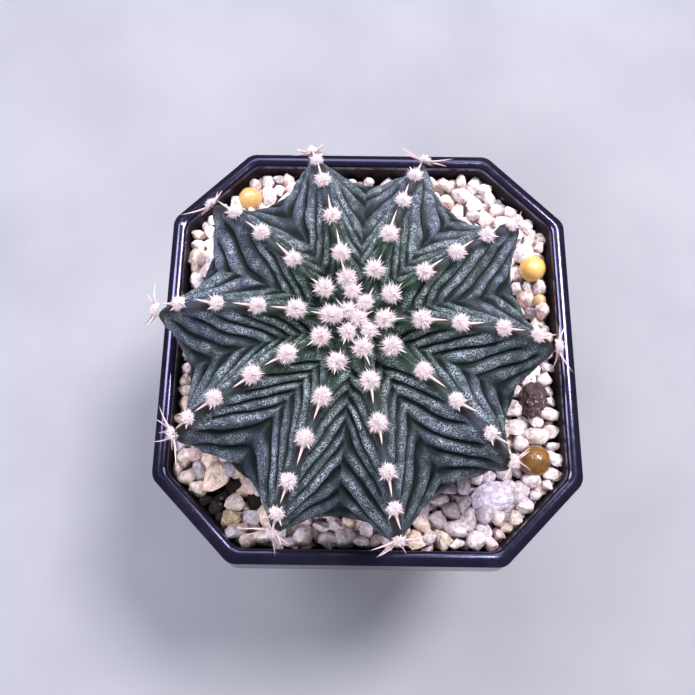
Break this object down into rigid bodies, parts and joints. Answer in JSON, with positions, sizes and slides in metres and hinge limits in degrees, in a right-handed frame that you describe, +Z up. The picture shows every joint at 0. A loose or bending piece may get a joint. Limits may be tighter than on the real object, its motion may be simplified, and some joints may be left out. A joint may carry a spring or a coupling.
{
  "type": "potted round cactus",
  "caption": "Round ribbed cactus with woolly, spined areoles, growing in pumice-topped mix in a square black nursery pot with chamfered corners.",
  "frame": {"origin": "middle of the pot's flat base, on the surface it stands on", "axes": "+Z up out of the pot, -Y the front that faces the viewer, +X to the viewer's right"},
  "size_m": [0.0578, 0.0592, 0.0689],
  "materials": {
    "pot_plastic": "satin black moulded plastic with a little dust",
    "potting_mix": "dark damp crumbly mix",
    "pumice": "matt, finely pitted, off-white to pinkish",
    "cactus_skin": "dark grey-green skin with a fine silvery bloom",
    "wool": "white felted wool with pinkish spines",
    "prill_coating": "translucent yellow to amber resin coat",
    "lava": "dark porous",
    "tan_stone": "smooth matt cream",
    "brown_stone": "rough matt brown"
  },
  "bodies": {
    "root": {"areole_10_1": "wool", "areole_10_2": "wool", "areole_10_3": "wool", "areole_10_4": "wool", "areole_10_5": "wool", "areole_1_1": "wool", "areole_1_2": "wool", "areole_1_3": "wool", "areole_1_4": "wool", "areole_1_5": "wool", "areole_2_1": "wool", "areole_2_2": "wool", "areole_2_3": "wool", "areole_2_4": "wool", "areole_2_5": "wool", "areole_3_1": "wool", "areole_3_2": "wool", "areole_3_3": "wool", "areole_3_4": "wool", "areole_3_5": "wool", "areole_4_1": "wool", "areole_4_2": "wool", "areole_4_3": "wool", "areole_4_4": "wool", "areole_5_1": "wool", "areole_5_2": "wool", "areole_5_3": "wool", "areole_5_4": "wool", "areole_5_5": "wool", "areole_6_1": "wool", "areole_6_2": "wool", "areole_6_3": "wool", "areole_6_4": "wool", "areole_6_5": "wool", "areole_7_1": "wool", "areole_7_2": "wool", "areole_7_3": "wool", "areole_7_4": "wool", "areole_8_1": "wool", "areole_8_2": "wool", "areole_8_3": "wool", "areole_8_4": "wool", "areole_8_5": "wool", "areole_9_1": "wool", "areole_9_2": "wool", "areole_9_3": "wool", "areole_9_4": "wool", "brown_stone": "brown_stone", "cactus_body": "cactus_skin", "crown_wool": "wool", "fertiliser_prill_1": "prill_coating", "fertiliser_prill_2": "prill_coating", "fertiliser_prill_3": "prill_coating", "fertiliser_prill_4": "prill_coating", "large_pumice_stone": "pumice", "lava_stone": "lava", "pot": "pot_plastic", "potting_mix": "potting_mix", "pumice_topdressing": "pumice", "tan_stone": "tan_stone"}
  },
  "joints": []
}
